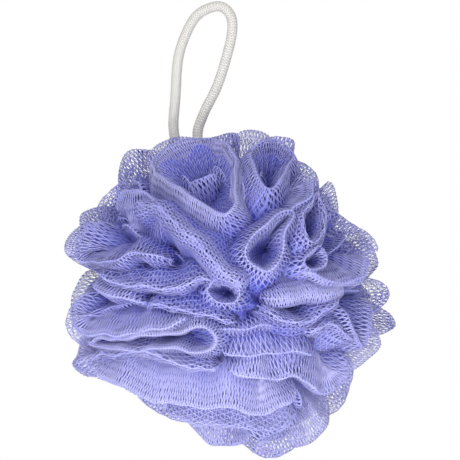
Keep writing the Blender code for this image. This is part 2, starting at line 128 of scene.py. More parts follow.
# Its stitches, in radians over the whole length and once round it, and how far they bend
STITCH_ROWS = 1200.0
STITCH_BENDS = 50.3
STITCH_BEND = 1.6
CORD_ROUTE = (
    (1.9, 0.0, -93.0), (1.9, 0.0, -88.5), (1.2, 0.1, -83.5), (-5.0, 0.3, -73.5),
    (-13.4, 0.6, -62.0), (-18.0, 0.6, -48.5), (-17.4, 0.0, -33.8), (-16.2, 0.0, -18.2),
    (-12.3, 0.0, -7.0), (-7.6, 0.0, -0.6), (0.0, 0.0, 2.1), (4.6, 0.0, -1.6),
    (5.2, 0.0, -8.4), (3.0, 0.0, -18.2), (-0.8, 0.2, -30.0), (-6.2, 0.6, -41.0),
    (-8.6, 0.8, -50.0), (-5.4, 0.6, -62.0), (1.2, 0.3, -74.0), (6.2, 0.1, -83.0),
    (6.9, 0.0, -88.5), (6.9, 0.0, -93.0),
)

# Ruffles of the front half, as in the solid model, where only the small mouth in the middle is
# narrower: half width of the rolled rim, sideways lean of the root, height as a share of the
# ball, whether the rim closes, and the rim's points x, z
FRONT_FOLDS = (
    (1.8, 0, 0.97, True, ((-30, 51), (-22, 44), (-12, 38), (-2, 32), (2, 41), (1, 57), (-6, 63),
                          (-20, 62), (-28, 58))),
    (1.4, -2, 0.88, False, ((-19, 45), (-11, 47), (-3, 50))),
    (1.6, 5, 0.93, False, ((-50, 38), (-43, 42), (-35, 42), (-28, 36), (-22, 32))),
    (4.2, -3, 1.00, False, ((-41, 39), (-29, 35), (-20, 28), (-11, 19), (-3, 11), (6, 2))),
    (1.6, -3, 0.98, False, ((-54, 33), (-58, 28), (-62, 21), (-59, 14), (-49, 14), (-38, 17),
                            (-26, 17))),
    (1.5, -3, 0.96, False, ((-56, 10), (-46, 6), (-34, 4), (-22, 4), (-10, 7), (-3, 7))),
    (1.3, -2, 0.98, False, ((-58, 6), (-50, 2), (-42, -1), (-36, -2))),
    (1.5, -3, 0.95, False, ((-36, -5), (-27, -3), (-17, -5), (-6, -8), (4, -10))),
    (1.8, -3, 0.97, False, ((-60, 2), (-63, -5), (-63, -11), (-58, -15), (-46, -15), (-31, -13),
                            (-16, -8))),
    (1.3, 0, 0.98, True, ((-56, -18), (-40, -16), (-24, -14), (-10, -12), (-5, -16), (-9, -21),
                          (-26, -20), (-44, -21))),
    (1.6, 2, 0.96, False, ((-58, -28), (-53, -24), (-40, -22), (-30, -22), (-18, -27), (-3, -29))),
    (1.8, -3, 1.00, False, ((-57, -30), (-47, -34), (-36, -39), (-25, -42), (-12, -43), (2, -44),
                            (14, -46), (29, -39))),
    (1.6, -2, 0.98, False, ((-28, -46), (-15, -50), (1, -51), (15, -53), (28, -50))),
    (1.8, -4, 1.00, False, ((-1, -30), (13, -32), (25, -31), (37, -38), (45, -34), (49, -24))),
    (1.8, 3, 0.95, False, ((30, -15), (38, -11), (45, -14), (52, -20))),
    (1.4, 0, 0.99, False, ((46, -2), (48, -11), (53, -20), (56, -10), (59, -1))),
    (4.2, -3, 0.97, False, ((14, 0), (22, 0), (33, 1), (42, 2), (48, 6))),
    (1.6, 2, 1.00, False, ((13, -3), (20, -9), (30, -9), (40, -4), (46, 2))),
    (2.2, 0, 1.00, True, ((7, 21), (8, 14), (14, 10), (19, 14), (21, 23), (25, 34), (15, 30))),
    (2.0, 0, 1.00, True, ((9, 58), (10, 50), (12, 45), (16, 43), (20, 47), (24, 53), (24, 59),
                          (17, 63))),
    (1.6, 3, 0.97, False, ((28, 52), (33, 46), (32, 41), (28, 37), (22, 34))),
    (1.4, 0, 0.98, True, ((35, 41), (30, 35), (29, 29), (31, 22), (35, 22), (37, 28), (37, 35))),
    (1.3, 0, 0.96, True, ((36, 20), (31, 18), (29, 14), (32, 11), (37, 13), (38, 17))),
    (2.0, -3, 0.99, False, ((28, 10), (34, 9), (41, 6), (49, 6), (55, 12), (57, 18))),
    (1.3, 2, 0.84, False, ((4, 52), (5, 42), (6, 34))),
    (1.2, 0, 0.97, True, ((-9, 4), (-5, 7), (0, 6), (4, 3), (2, -2), (-3, -2), (-7, 1))),
    (1.5, 2, 0.90, False, ((-15, -8), (-6, -12), (4, -12), (13, -11), (22, -13))),
    (1.5, -2, 0.94, False, ((-5, -21), (6, -23), (16, -22), (26, -21), (35, -25))),
)

# Ruffles, by their place in a list, whose diamonds run along the rim, and the closest knitted ones
CELLS_ALONG = (3, 5, 7, 10, 12, 14, 17, 21, 24)
FINE_NET = (0, 3, 9, 11, 13, 16, 19)

# Ruffles, by their place in a list, that make the upper piece of their half's net
UPPER_NET = (*range(9), *range(19, 24))

# Lobes of the outline: distance in front of (-) or behind (+) the waist plane, and rim points x, z
EDGE_LOBES = (
    (8, ((-18, 62), (-10, 63), (-3, 65), (1, 66))),
    (-9, ((1, 64), (6, 66), (11, 66), (16, 64))),
    (7, ((15, 64), (20, 64), (26, 62), (26, 54))),
    (-7, ((25, 55), (31, 52), (35, 48), (36, 44))),
    (8, ((35, 43), (40, 46), (43, 41), (44, 33))),
    (-8, ((40, 36), (47, 30), (54, 26), (59, 21))),
    (7, ((57, 22), (59, 17), (60, 12), (57, 8))),
    (-6, ((54, 8), (61, 5), (64, 0), (61, -5))),
    (6, ((61, -5), (65, -8), (67, -13), (61, -16))),
    (-8, ((60, -16), (60, -20), (56, -25), (50, -30))),
    (7, ((50, -30), (49, -36), (46, -44), (40, -49))),
    (-7, ((40, -47), (39, -52), (34, -58), (28, -61))),
    (8, ((29, -60), (23, -64), (15, -66), (5, -61))),
    (-8, ((5, -60), (-2, -60), (-9, -59), (-17, -51))),
    (6, ((-17, -51), (-25, -50), (-33, -45), (-38, -40))),
    (-8, ((-38, -40), (-45, -36), (-55, -32), (-62, -29))),
    (6, ((-60, -32), (-64, -28), (-62, -24), (-61, -20))),
    (-6, ((-59, -21), (-64, -16), (-66, -11), (-65, -6))),
    (7, ((-65, -6), (-64, -1), (-62, 4), (-60, 8))),
    (-5, ((-58, 15), (-65, 16), (-66, 21), (-61, 28))),
    (8, ((-61, 28), (-60, 33), (-53, 36))),
    (-7, ((-53, 36), (-49, 41), (-45, 45))),
    (9, ((-46, 45), (-44, 54), (-39, 59), (-31, 59))),
    (-9, ((-32, 58), (-28, 61), (-23, 63), (-17, 64))),
)


# The picture: its lens, how much it takes in at the ball, the height of its middle, and the floor's
LENS = 250
SENSOR = 36
PICTURE_SPAN = 0.184
PICTURE_MIDDLE = -0.0874
FLOOR_HEIGHT = -0.30


def chance(number, turn=0.0):
    """A fixed share from 0 to 1 that looks random, for piece to piece variation."""
    return (math.sin(number * 12.9898 + turn * 78.233 + 4.1414) * 43758.5453) % 1.0


def smooth_route(points, closed, steps=12):
    """A finely sampled smooth curve through the points, and the distance along it."""
    points = np.array(points, float)
    count = len(points)
    share = (np.arange(steps) / steps)[:, None]
    stretches = []
    for span in range(count if closed else count - 1):
        if closed:
            before, start, end, after = (points[(span + k) % count] for k in (-1, 0, 1, 2))
        else:
            before, start, end, after = (points[min(max(span + k, 0), count - 1)] for k in (-1, 0, 1, 2))
        stretches.append(0.5 * (
            2 * start + (end - before) * share
            + (2 * before - 5 * start + 4 * end - after) * share ** 2
            + (3 * start - before - 3 * end + after) * share ** 3
        ))
    stretches.append(points[:1] if closed else points[-1:])
    route = np.vstack(stretches)
    travelled = np.concatenate(([0.0], np.cumsum(np.linalg.norm(np.diff(route, axis=0), axis=1))))
    return route, travelled


def along_route(route, travelled, distance, closed):
    length = travelled[-1]
    place = distance % length if closed else np.clip(distance, 0.0, length)
    return np.stack([np.interp(place, travelled, route[:, k]) for k in range(3)], axis=-1)


def unit(vectors):
    return vectors / np.maximum(np.linalg.norm(vectors, axis=-1, keepdims=True), 1e-12)


def on_front(points, height):
    """Rim points of a front ruffle on the ball, from the ball's centre, in metres."""
    flat = np.array(points, float) * MM
    across = np.minimum(np.hypot(flat[:, 0], flat[:, 1]) / BALL_RADIUS, 1.0)
    depth = np.maximum(BALL_HALF_DEPTH * np.sqrt(1 - across ** 2) * height, HALF_STAND_OFF)
    return np.stack([flat[:, 0], -depth, flat[:, 1]], axis=1)


def on_back(points, height):
    """The same rim on the back half: mirrored, turned about the ball's axis and drawn in."""
    cosine, sine = math.cos(BACK_TURN) * BACK_SHRINK, math.sin(BACK_TURN) * BACK_SHRINK
    turned = [(-x * cosine - z * sine, -x * sine + z * cosine) for x, z in points]
    return on_front(turned, height) * np.array((1.0, -1.0, 1.0))


def on_edge(stand_off, points):
    """Rim points of an edge lobe, run on past both ends so that it laps under its neighbours."""
    rim = np.array([(x, stand_off, z) for x, z in points], float) * MM
    before = rim[0] + unit(rim[0] - rim[1]) * LOBE_OVERLAP
    after = rim[-1] + unit(rim[-1] - rim[-2]) * LOBE_OVERLAP
    return np.vstack([before, rim, after])


def flank_spreads(spread, lean, closed, points):
    """How far the flanks bulge, left and right of the rim; a mouth is steep inside and stays open."""
    if closed:
        ends = zip(points, points[1:] + points[:1])
        tilt = math.copysign(MOUTH_TILT, sum(x1 * z2 - x2 * z1 for (x1, z1), (x2, z2) in ends))
    else:
        tilt = min(max(lean / FULL_LEAN, -MOST_TILT), MOST_TILT)
    return spread * (1 - tilt), spread * (1 + tilt)


class Ruffle:
    """One pleat of the net: two walls that rise from the gathered core to a rolled rim."""

    def __init__(self, rim, closed, half_width, lean, drop, number, spreads, crosses=False):
        self.route, self.travelled = smooth_route(rim, closed)
        self.length = self.travelled[-1]
        self.closed, self.drop, self.number, self.crosses = closed, drop, number, crosses
        self.half_width, self.lean = half_width, lean
        self.left_spread, self.right_spread = spreads
        self.tone = chance(number, 1)
        lobe = drop == LOBE_END_DROP
        self.scallop, self.wave = (LOBE_SCALLOP, LOBE_WAVE) if lobe else (RIM_SCALLOP, WALL_WAVE)

    def frames(self, distance):
        """Crest, sideways direction and root of the ruffle at distances along its rim."""
        reach = 1.5 * MM
        here = along_route(self.route, self.travelled, distance, self.closed)
        ahead = along_route(self.route, self.travelled, distance + reach, self.closed)
        behind = along_route(self.route, self.travelled, distance - reach, self.closed)
        sideways = unit(np.cross(ahead - behind, here))
        fall = np.zeros_like(distance)
        if not self.closed:
            end_reach = min(END_ROUND, self.length / 3)
            near = np.clip(1 - np.minimum(distance, self.length - distance) / end_reach, 0.0, 1.0)
            fall = self.drop * (1 - np.sqrt(1 - near ** 2))
        phase = 6.283 * chance(self.number, 2)
        scallop = self.scallop * (0.5 + 0.5 * np.sin(distance / SCALLOP_PER_RADIAN[0] + phase))
        scallop += self.scallop / 2 * (0.5 + 0.5 * np.sin(distance / SCALLOP_PER_RADIAN[1] + 2 * phase))
        outward = unit(here)
        crest = here - outward * (fall + scallop)[:, None]
        root = outward * ROOT_RADIUS + sideways * self.lean
        if not self.crosses:
            side = np.sign(crest[:, 1]) + (crest[:, 1] == 0)
            nearest = ROOT_STAND_OFF + self.half_width * ROOT_SHARE
            root[:, 1] = side * np.maximum(side * root[:, 1], nearest)
        return crest, sideways, root

    def surface(self, distance, share, inset=0.0):
        """Points of the wall: distance along the rim, share from -1 (one root) over 0 (rim) to 1."""
        crest, sideways, root = self.frames(distance)
        reach = np.linalg.norm(root - crest, axis=1)
        down = (root - crest) / reach[:, None]
        width = self.half_width
        arc = math.pi * width / 2
        path = np.abs(share) * (arc + reach - width)
        turned = np.minimum(path / width, math.pi / 2)
        depth = np.where(path < arc, width * (1 - np.cos(turned)), width + path - arc)
        side = np.sign(share)
        flank = np.maximum(depth - width, 0.0) / FLANK_DEPTH
        last = np.maximum((reach - width) / FLANK_DEPTH, 1.05)
        rising = np.sin(np.minimum(flank, 1.0) * math.pi / 2)
        falling = 0.5 + 0.5 * np.cos(math.pi * np.clip((flank - 1) / (last - 1), 0, 1))
        spread = np.where(side > 0, self.right_spread, self.left_spread) * self.end_taper(distance)
        foot = np.clip(flank / last, 0, 1)
        stand = width * np.sin(turned) * (1 - foot * (1 - ROOT_SHARE))
        stand = stand + spread * np.where(flank < 1, rising, falling)
        seed = 6.283 * chance(self.number, 3)
        deep = np.clip(np.abs(share), 0, 1)
        sway = np.sin(distance / WAVE_PER_RADIAN[0] + seed + 1.7 * deep)
        sway = sway + 0.5 * np.sin(distance / WAVE_PER_RADIAN[1] - 2 * seed + 2.3 * deep)
        swell = np.sin(distance / RIPPLE_PER_RADIAN + 3 * seed + side * 1.3 + 3 * deep)
        bend = self.wave * sway * (0.6 + 0.9 * np.sin(np.pi * deep)) * (1 - deep ** 3)
        bend = bend + side * WALL_RIPPLE * swell * np.sin(np.pi * np.minimum(deep * 1.6, 1.0))
        sunk = inset * np.minimum(path / (4 * width) + 0.3, 1.0)
        stand = np.maximum(stand - sunk, 0.0)
        return crest + down * (depth + sunk)[:, None] + sideways * (side * stand + bend)[:, None]

    def end_taper(self, distance):
        """How full the flanks are: they close towards a ruffle's free ends."""
        if self.closed:
            return np.full_like(distance, MOUTH_FULLNESS)
        end_reach = min(END_TAPER, self.length / 2.2)
        near = np.clip(1 - np.minimum(distance, self.length - distance) / end_reach, 0.0, 1.0)
        return 1 - near ** 2

    def wall_length(self):
        crest, _, root = self.frames(np.linspace(0, self.length, 9))
        return float(np.linalg.norm(root - crest, axis=1).mean())


def build_ruffles():
    """Every ruffle of the pouf, sorted by where it lies on the ball."""
    front, back, edge = [], [], []
    for number, (half_width, lean, height, closed, points) in enumerate(FRONT_FOLDS):
        size, lean = half_width * MM * (MOUTH_LIP if closed else 1.0), lean * MM
        front.append(Ruffle(on_front(points, height), closed, size, lean, END_DROP, number,
                            flank_spreads(FLANK_SPREAD, lean, closed, points)))
        back.append(Ruffle(on_back(points, height), closed, size, -lean, END_DROP, number + BACK_NUMBER,
                           flank_spreads(FLANK_SPREAD, -lean, closed, points)))
    for number, (stand_off, points) in enumerate(EDGE_LOBES):
        lean = -math.copysign(LOBE_LEAN, stand_off)
        edge.append(Ruffle(on_edge(stand_off, points), False, LOBE_HALF_WIDTH, lean, LOBE_END_DROP,
                           number + EDGE_NUMBER, (LOBE_SPREAD, LOBE_SPREAD)))
    return front, back, edge


def inner_ruffles(side):
    """The pleats packed between the main ones: low ruffles that fan out of the gathered middle."""
    found = []
    for number in range(INNER_PLEATS):
        angle = 2 * math.pi * (number + 0.5 * chance(number, 5)) / INNER_PLEATS
        bend = (chance(number, 6) - 0.5) * 14
        points = []
        for step in range(6):
            reach = INNER_START + INNER_RUN * step / 5
            turn = angle + bend / 100 * math.sin(step * 1.4)
            x = GATHER_POINT[0] * (1 - step / 5) + reach * math.cos(turn)
            z = GATHER_POINT[1] * (1 - step / 5) + reach * math.sin(turn)
            limit = INNER_LIMIT / max(math.hypot(x, z), INNER_LIMIT)
            points.append((x * limit, z * limit))
        height = 0.70 + 0.06 * chance(number, 7)
        rim = on_front(points, height) if side < 0 else on_back(points, height)
        lean = (chance(number, 8) - 0.5) * 6 * MM
        found.append(Ruffle(rim, False, PACKED_HALF_WIDTH, lean, END_DROP, number + INNER_NUMBER,
                            flank_spreads(FLANK_SPREAD, lean, False, points)))
    return found


def outline_reach(angle):
    """How far the edge lobes stand out from the ball's centre, in a direction round the outline."""
    points = np.array([point for _, lobe in EDGE_LOBES for point in lobe], float) * MM
    around, out = np.arctan2(points[:, 1], points[:, 0]), np.hypot(points[:, 0], points[:, 1])
    return np.interp(angle, around, out, period=2 * math.pi)


def clear_of_cord(ruffle, cord_line):
    """Whether a pleat leaves room for the legs of the hanging cord, which go down to the knot."""
    place, share = np.meshgrid(np.linspace(0, ruffle.length, 31), np.linspace(-1, 1, 41))
    points = ruffle.surface(place.ravel(), share.ravel()) + BALL_CENTRE
    apart = np.linalg.norm(points[:, None, :] - cord_line[None, :, :], axis=2)
    return apart.min() > CORD_DIAMETER / 2 + CORD_ROOM


def belt_ruffles():
    """Low pleats that cross from the front half to the back one, under the edge lobes."""
    cord_line, _ = smooth_route(np.array(CORD_ROUTE) * MM, False)
    found = []
    for number in range(BELT_PLEATS):
        angle = 2 * math.pi * (number + 0.6 * chance(number, 13)) / BELT_PLEATS
        below = BELT_BELOW_LOBES - 2.5 * MM * chance(number, 14)
        swing = 0.22 * (chance(number, 15) - 0.5)
        rim = []
        for step in range(7):
            across = (step / 3 - 1) * BELT_REACH
            turn = angle + swing * math.sin(step * 1.3) + 0.05 * math.sin(step * 2.1 + number)
            near = (outline_reach(turn) - below) * math.sqrt(1 - (across / BALL_HALF_DEPTH) ** 2)
            rim.append((near * math.cos(turn), across, near * math.sin(turn)))
        found.append(Ruffle(np.array(rim), False, PACKED_HALF_WIDTH, 0.0, LOBE_END_DROP,
                            number + BELT_NUMBER, (FLANK_SPREAD, FLANK_SPREAD), crosses=True))
    return [ruffle for ruffle in found if clear_of_cord(ruffle, cord_line)]


def new_mesh(name, points, faces, face_rise=None, uv=None, tone=None):
    """A mesh object from arrays, with its rise and tone attributes and its own UV map."""
    mesh = bpy.data.meshes.new(name)
    sides = faces.shape[1]
    mesh.vertices.add(len(points))
    mesh.vertices.foreach_set("co", np.ascontiguousarray(points, dtype=np.float32).ravel())
    mesh.loops.add(len(faces) * sides)
    mesh.loops.foreach_set("vertex_index", np.ascontiguousarray(faces, dtype=np.int32).ravel())
    mesh.polygons.add(len(faces))
    mesh.polygons.foreach_set("loop_start", np.arange(0, len(faces) * sides, sides, dtype=np.int32))
    mesh.polygons.foreach_set("loop_total", np.full(len(faces), sides, dtype=np.int32))
    mesh.update(calc_edges=True)
    mesh.shade_smooth()
    if face_rise is not None:
        made = mesh.attributes.new("rise", "FLOAT", "POINT")
        made.data.foreach_set("value", np.ascontiguousarray(face_rise, dtype=np.float32))
    if tone is not None:
        made = mesh.attributes.new("tone", "FLOAT", "POINT")
        made.data.foreach_set("value", np.ascontiguousarray(tone, dtype=np.float32))
    if uv is not None:
        layer = mesh.uv_layers.new(name="cloth")
        layer.data.foreach_set("uv", np.ascontiguousarray(uv[faces.ravel()], dtype=np.float32).ravel())
    item = bpy.data.objects.new(name, mesh)
    bpy.context.scene.collection.objects.link(item)
    return item


def grid_faces(columns, rows):
    """Four-sided faces of a grid of points that is listed column by column."""
    index = np.arange((columns + 1) * (rows + 1)).reshape(columns + 1, rows + 1)
    corners = [index[:-1, :-1], index[:-1, 1:], index[1:, 1:], index[1:, :-1]]
    return np.stack(corners, axis=-1).reshape(-1, 4)


def thread_tubes(surface, span, cell, slant, along, ruffle, radius=THREAD_RADIUS):
    """Knitted threads on one wall: each zigzags down the wall, or along it, and touches its neighbours.

    The span is the wall's height and the shares, of its surface, between which the threads run.
    """
    height, first, last = span
    narrow, tall = cell
    across, onward = (height, ruffle.length) if along else (ruffle.length, height)
    threads = max(6, 2 * round(across / narrow))
    rows = max(8, 4 * round(onward / tall / 2))
    k = np.arange(threads)[:, None]
    j = np.arange(rows + 1)[None, :]
    step = (k + (k + j) % 2) / threads + np.zeros_like(j)
    step = step + 0.05 * narrow / across * np.sin(step * across * 900.0 + j * 1.9 + ruffle.number)
    forward = j / rows + np.zeros_like(step)
    down, place = (step, forward) if along else (forward, step)
    share = first + (last - first) * down
    place = place * ruffle.length + slant * (2 * down - 1)
    points = surface(place.ravel(), share.ravel()).reshape(threads, rows + 1, 3)
    nearby = surface(place.ravel() + 0.4 * MM, share.ravel()).reshape(points.shape)
    lower = surface(place.ravel(), share.ravel() + 0.01).reshape(points.shape)
    ahead = unit(np.gradient(points, axis=1))
    normal = unit(np.cross(nearby - points, lower - points))
    sideways = unit(np.cross(ahead, normal))
    ring = []
    for corner in range(3):
        angle = 2 * math.pi * corner / 3
        ring.append(points + radius * (normal * math.cos(angle) + sideways * math.sin(angle)))
    verts = np.stack(ring, axis=2)
    index = np.arange(threads * (rows + 1) * 3).reshape(threads, rows + 1, 3)
    faces = []
    for corner in range(3):
        after = (corner + 1) % 3
        faces.append(np.stack([index[:, :-1, corner], index[:, 1:, corner],
                               index[:, 1:, after], index[:, :-1, after]], axis=-1).reshape(-1, 4))
    # The rise, 1 at the rim and less down the wall, picks the net's painted shade and painted highlight.
    rise = np.repeat(1 - np.abs(share), 3)
    tone = np.full(verts.size // 3, ruffle.tone)
    return verts.reshape(-1, 3), np.vstack(faces), rise, tone


def wall_threads(ruffle, depth_share):
    """The threads of a ruffle's two walls, from the rolled rim part of the way to the root."""
    stretch = 0.85 + 0.5 * chance(ruffle.number, 9)
    listed = ruffle.number % BACK_NUMBER
    if listed in FINE_NET:
        stretch *= 0.66
    cell = (CELL_WIDTH * stretch, CELL_HEIGHT * (0.6 + 0.4 * stretch))
    slant = (chance(ruffle.number, 12) - 0.5) * 14 * MM
    span = (2 * ruffle.wall_length() * depth_share, -depth_share, depth_share)
    return thread_tubes(ruffle.surface, span, cell, slant, listed in CELLS_ALONG, ruffle)


def layer_sheet(ruffle, rows):
    """One closed-up layer of net under the outer threads, as a continuous wall."""
    columns = max(8, round(ruffle.length / LAYER_COLUMN))
    place = np.linspace(0, ruffle.length, columns + 1)
    spread = np.linspace(-1, 1, rows + 1)
    spread = np.sign(spread) * np.abs(spread) ** 1.35
    grid_place, grid_share = np.meshgrid(place, spread, indexing="ij")
    points = ruffle.surface(grid_place.ravel(), grid_share.ravel(), LAYER_INSET)
    # The rise, 1 at the rim and less towards the roots, picks the net's painted shade and painted
    # highlight.
    rise = 1 - np.abs(grid_share).ravel()
    wall = ruffle.wall_length()
    uv = np.stack([grid_place.ravel(), grid_share.ravel() * wall], axis=1) * 10
    tone = np.full(len(points), ruffle.tone)
    return points, grid_faces(columns, rows), rise, tone, uv


def mouth_shape(ruffle):
    """The net drawn together inside a ruffle whose rim closes, and how wide it is: a ribbed cup."""
    crest, _, _ = ruffle.frames(np.linspace(0, ruffle.length, 49)[:-1])
    middle = crest.mean(axis=0)
    breadth = float(np.linalg.norm(crest - middle, axis=1).mean())
    sink = min(0.9 * breadth + 2 * MM, MOUTH_DEEPEST)
    end = middle - unit(middle) * (MOUTH_START + sink)
    ribs = 2 * math.pi * round(ruffle.length / MOUTH_RIB) / ruffle.length

    def surface(place, share):
        rim, _, _ = ruffle.frames(place)
        outward = unit(rim)
        inward = share[:, None]
        drop = (np.sin(share * math.pi / 2) - share) * sink
        drop = drop + 0.5 * MM * np.sin(place * ribs) * np.sin(share * math.pi)
        return (rim - outward * MOUTH_START) * (1 - inward) + end * inward - outward * drop[:, None]

    return surface, breadth


def mouth_floor(ruffle):
    """The closed-up net that lines a mouth."""
    surface, breadth = mouth_shape(ruffle)
    columns, rows = max(24, round(ruffle.length / (0.7 * MM))), 12
    place = np.repeat(np.linspace(0, ruffle.length, columns + 1), rows + 1)
    share = np.tile(np.linspace(0, 1, rows + 1), columns + 1)
    points = surface(place, share)
    faces = grid_faces(columns, rows)[:, [0, 3, 2, 1]]
    uv = np.stack([place, share * breadth], axis=1) * 10
    # Painted shade: the floor's rise falls from 0.62 at the lip to 0.37 in the middle, so the floor
    # darkens deeper in the mouth.
    return points, faces, 0.62 - 0.25 * share, np.full(len(points), ruffle.tone), uv


def mouth_threads(ruffle):
    """Threads that run together towards the middle of a mouth, a little above its floor."""
    surface, breadth = mouth_shape(ruffle)

    def above(place, share):
        points = surface(place, share)
        return points + unit(points) * 0.3 * MM

    cell = (CELL_WIDTH, CELL_HEIGHT * 0.6)
    return thread_tubes(above, (breadth, 0.0, 0.8), cell, 2 * MM, False, ruffle)


def gather(name, parts):
    """Several ruffles' arrays as one piece of the pouf, set at the ball's place."""
    points, faces, rise, tone, uv, start = [], [], [], [], [], 0
    for part in parts:
        points.append(part[0])
        faces.append(part[1] + start)
        rise.append(part[2])
        tone.append(part[3])
        if len(part) > 4:
            uv.append(part[4])
        start += len(part[0])
    return new_mesh(name, np.vstack(points) + BALL_CENTRE, np.vstack(faces), np.concatenate(rise),
                    np.vstack(uv) if uv else None, np.concatenate(tone))


def packed_middle():
    """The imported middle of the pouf, seen only down between the ruffles."""
    bpy.ops.object.select_all(action="DESELECT")
    bpy.ops.mesh.primitive_ico_sphere_add(subdivisions=6, radius=1.0, location=(0, 0, 0))
    item = bpy.context.object
    item.name = item.data.name = "packed_middle"
    count = len(item.data.vertices)
    flat = np.empty(count * 3, dtype=np.float32)
    item.data.vertices.foreach_get("co", flat)
    ball = flat.reshape(-1, 3).astype(float)
    around = np.arctan2(ball[:, 2], ball[:, 0])
    tip = np.arccos(np.clip(np.abs(ball[:, 1]), 0, 1))
    ridge = np.abs(np.sin(around * 23 + 2.2 * np.sin(tip * 3))) * 0.10 * np.sin(tip)
    ridge += 0.05 * np.sin(around * 9 + tip * 8)
    points = ball * MIDDLE_HALF_SIZE * (1 - ridge)[:, None] + BALL_CENTRE
    item.data.vertices.foreach_set("co", points.astype(np.float32).ravel())
    item.data.update()
    item.data.shade_smooth()
    return item


def braided_cord():
    """The hanging cord as a mesh tube with the raised strands of its braid."""
    route, travelled = smooth_route(np.array(CORD_ROUTE) * MM, False, 24)
    rings, sides = int(travelled[-1] / CORD_RING), CORD_SIDES
    distance = np.linspace(0, travelled[-1], rings + 1)
    centre = along_route(route, travelled, distance, False)
    ahead = unit(np.gradient(centre, axis=0))
    side = unit(np.cross(ahead, np.array((0.0, 1.0, 0.0))))
    up = np.cross(side, ahead)
    angle = np.arange(sides) / sides * 2 * math.pi
    turn = distance[:, None] / BRAID_TURN * 2 * math.pi
    one = np.cos(BRAID_STRANDS * (angle[None, :] + turn))
    other = np.cos(BRAID_STRANDS * (angle[None, :] - turn))
    relief = np.maximum(one, other)
    radius = CORD_DIAMETER / 2 * (1 - BRAID_RELIEF + BRAID_RELIEF * relief)
    offset = radius[:, :, None] * (side[:, None, :] * np.cos(angle)[None, :, None]
                                   + up[:, None, :] * np.sin(angle)[None, :, None])
    points = (centre[:, None, :] + offset).reshape(-1, 3)
    index = np.arange((rings + 1) * sides).reshape(rings + 1, sides)
    after = np.roll(index, -1, axis=1)
    faces = np.stack([index[:-1], after[:-1], after[1:], index[1:]], axis=-1).reshape(-1, 4)
    item = new_mesh("braided_cord", points, faces)
    corner_uv = np.empty((len(faces), 4, 2), dtype=np.float32)
    column = np.tile(np.arange(sides), rings)
    row = np.repeat(np.arange(rings), sides)
    for corner, (across, onward) in enumerate(((0, 0), (1, 0), (1, 1), (0, 1))):
        corner_uv[:, corner] = np.stack([(column + across) / sides, (row + onward) / rings], axis=1)
    item.data.uv_layers.new(name="braid").data.foreach_set("uv", corner_uv.ravel())
    groove = item.data.attributes.new("relief", "FLOAT", "POINT")
    groove.data.foreach_set("value", relief.astype(np.float32).ravel())
    return item, centre, float(travelled[-1])


def join(tree, given, socket):
    """Links an output to a socket, or sets the socket to a plain number, vector or colour."""
    if isinstance(given, (int, float, tuple)):
        socket.default_value = given
    else:
        tree.links.new(given, socket)


def add_node(tree, kind, inputs=None, **settings):
    """A node with its settings, and its inputs linked or set by their names or places."""
    made = tree.nodes.new(kind)
    for name, value in settings.items():
        setattr(made, name, value)
    for name, value in (inputs or {}).items():
        if value is not None:
            join(tree, value, made.inputs[name])
    return made


def new_group(name, inputs, outputs):
    tree = bpy.data.node_groups.new(name, "ShaderNodeTree")
    for label, kind, value in inputs:
        socket = tree.interface.new_socket(name=label, in_out="INPUT", socket_type=kind)
        socket.default_value = value
    for label, kind in outputs:
        tree.interface.new_socket(name=label, in_out="OUTPUT", socket_type=kind)
    return tree, tree.nodes.new("NodeGroupInput"), tree.nodes.new("NodeGroupOutput")


def math_node(tree, operation, first, second=None, third=None, clamp=False):
    """The output of a Math node."""
    inputs = {0: first, 1: second, 2: third}
    return add_node(tree, "ShaderNodeMath", inputs, operation=operation, use_clamp=clamp).outputs[0]


def vector_node(tree, operation, first, second=None, scale=None):
    """The output of a Vector Math node."""
    inputs = {0: first, 1: second, "Scale": scale}
    return add_node(tree, "ShaderNodeVectorMath", inputs, operation=operation).outputs[0]


def map_range(tree, value, start, end, low=0.0, high=1.0, **settings):
    """A value between start and end, carried over to between low and high, and held there."""
    inputs = {"Value": value, "From Min": start, "From Max": end, "To Min": low, "To Max": high}
    return add_node(tree, "ShaderNodeMapRange", inputs, **settings).outputs["Result"]


def mix_colours(tree, share, first, second, blend="MIX"):
    inputs = {"Factor": share, "A": first, "B": second}
    return add_node(tree, "ShaderNodeMix", inputs, data_type="RGBA", blend_type=blend).outputs["Result"]


def add_bump(tree, shader, height, strength, distance, inward=False):
    inputs = {"Strength": strength, "Distance": distance, "Height": height}
    bump = add_node(tree, "ShaderNodeBump", inputs, invert=inward)
    join(tree, bump.outputs["Normal"], shader.inputs["Normal"])


def ramp_node(tree, factor, stops):
    made = tree.nodes.new("ShaderNodeValToRGB")
    ramp = made.color_ramp
    while len(ramp.elements) < len(stops):
        ramp.elements.new(0.5)
    for element, (place, colour) in zip(ramp.elements, stops):
        element.position = place
        element.color = (*colour, 1.0)
    tree.links.new(factor, made.inputs[0])
    return made.outputs[0]


